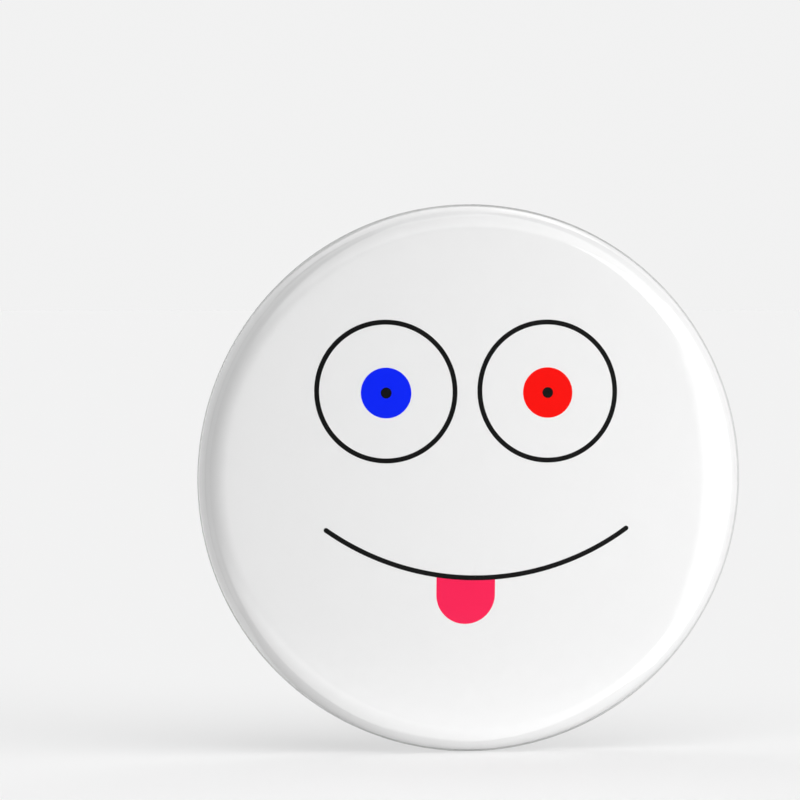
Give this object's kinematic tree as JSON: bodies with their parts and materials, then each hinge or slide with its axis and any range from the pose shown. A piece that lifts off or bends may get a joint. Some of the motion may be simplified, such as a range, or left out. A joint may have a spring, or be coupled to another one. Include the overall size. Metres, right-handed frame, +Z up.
{
  "type": "button badge",
  "caption": "Round pin-back button badge: a printed, film-covered domed steel shell crimped over a pressed back plate with a safety-pin wire whose needle unhooks and swings open.",
  "frame": {"origin": "centre of the back rim's plane, where the badge lies against the cloth it is pinned to", "axes": "the badge stands as worn: +Z up and +X to the right as seen from the front, the printed dome faces -Y and the pin side faces +Y"},
  "size_m": [0.056, 0.0065, 0.056],
  "materials": {
    "clear_film": "clear glossy polyester film, faintly wrinkled where it is crimped behind",
    "printed_paper": null,
    "shell_tinplate": "bright tinplate with rolling marks",
    "back_tinplate": "bright tinplate, streaked by the rolling in the flat middle and burnished to a mirror on the pressed ring",
    "pin_wire": "bright nickel-plated spring steel wire"
  },
  "bodies": {
    "badge": {"clear_film": "clear_film", "printed_disc": "printed_paper", "front_shell": "shell_tinplate", "back_plate": "back_tinplate", "pin_body": "pin_wire"},
    "needle": {"pin_needle": "pin_wire"}
  },
  "joints": [
    {"name": "needle_hinge", "type": "hinge", "parent": "badge", "child": "needle", "pos_m": [-0.0135, -0.00044, 0.0067], "axis": [0.8613, 0.4973, -0.1045], "range_deg": [0, 160], "stiffness_Nm_per_rad": 0.001}
  ]
}
